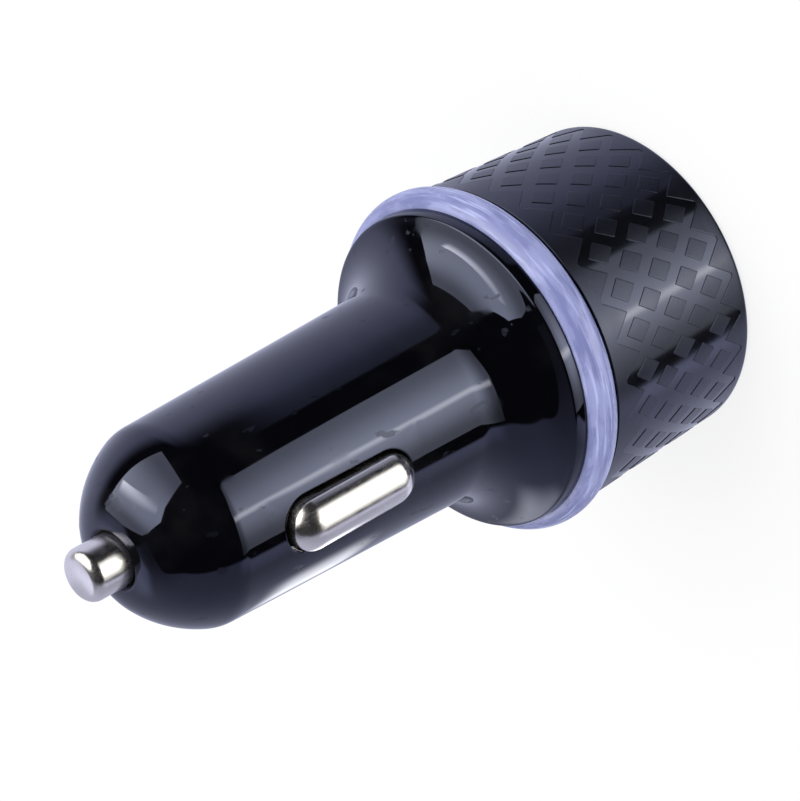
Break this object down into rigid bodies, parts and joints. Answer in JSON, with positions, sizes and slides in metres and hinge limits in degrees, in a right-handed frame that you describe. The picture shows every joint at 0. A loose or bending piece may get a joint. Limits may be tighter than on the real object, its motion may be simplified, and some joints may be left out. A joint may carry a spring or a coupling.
{
  "type": "car charger plug",
  "caption": "Car charger plug for a 12 V socket, with a sprung tip, sprung side contacts, a light ring and charging ports in its head.",
  "frame": {"origin": "middle of the face that holds the ports, on the plane of its rim; the plug stands on this rim", "axes": "+Z along the plug's axis from the face to the sprung tip; the two side contacts lie on +X and -X"},
  "size_m": [0.0338, 0.0338, 0.0686],
  "materials": {
    "black_gloss": "polished piano-black moulding",
    "ring_plastic": "cloudy lavender light guide",
    "black_satin": "satin black with polished grooves",
    "plate_black": "fine satin",
    "shell_steel": "tinned sheet",
    "tongue_white": "moulded white",
    "gilt_brass": "gilt",
    "board_green": "solder mask over glass fibre",
    "ferrite": "sintered ferrite",
    "copper_wire": "enamelled copper wire",
    "can_sleeve": "sleeved can",
    "chip_ceramic": "plain",
    "chip_black": "moulded epoxy",
    "lamp_white": "phosphor window",
    "spring_steel": "drawn wire and strip",
    "nickel_plate": "bright nickel plate"
  },
  "bodies": {
    "housing": {"barrel_housing": "black_gloss", "light_ring": "ring_plastic", "head_sleeve": "black_satin", "face_plate": "plate_black", "port_shell_right": "shell_steel", "port_shell_left": "shell_steel", "port_tongue_right": "tongue_white", "port_tongue_left": "tongue_white", "port_strips_right": "gilt_brass", "port_strips_left": "gilt_brass", "main_board": "board_green", "choke_core": "ferrite", "choke_winding": "copper_wire", "input_capacitor": "can_sleeve", "output_capacitor": "chip_ceramic", "regulator_chip": "chip_black", "port_chip": "chip_black", "rectifier_diode": "chip_black", "ring_lamps": "lamp_white", "spring_seat": "gilt_brass", "tip_spring": "spring_steel", "side_spring_right": "spring_steel", "side_spring_left": "spring_steel"},
    "tip": {"tip_contact": "nickel_plate"},
    "contact_right": {"side_contact_right": "nickel_plate"},
    "contact_left": {"side_contact_left": "nickel_plate"}
  },
  "joints": [
    {"name": "tip_press", "type": "slide", "parent": "housing", "child": "tip", "axis": [0, 0, -1], "range_m": [0, 0.0025], "stiffness_N_per_m": 1500, "deforming": ["tip_spring"]},
    {"name": "right_press", "type": "slide", "parent": "housing", "child": "contact_right", "axis": [-1, 0, 0], "range_m": [0, 0.0017], "stiffness_N_per_m": 1500, "deforming": ["side_spring_right"]},
    {"name": "left_press", "type": "slide", "parent": "housing", "child": "contact_left", "axis": [1, 0, 0], "range_m": [0, 0.0017], "stiffness_N_per_m": 1500, "deforming": ["side_spring_left"]}
  ]
}
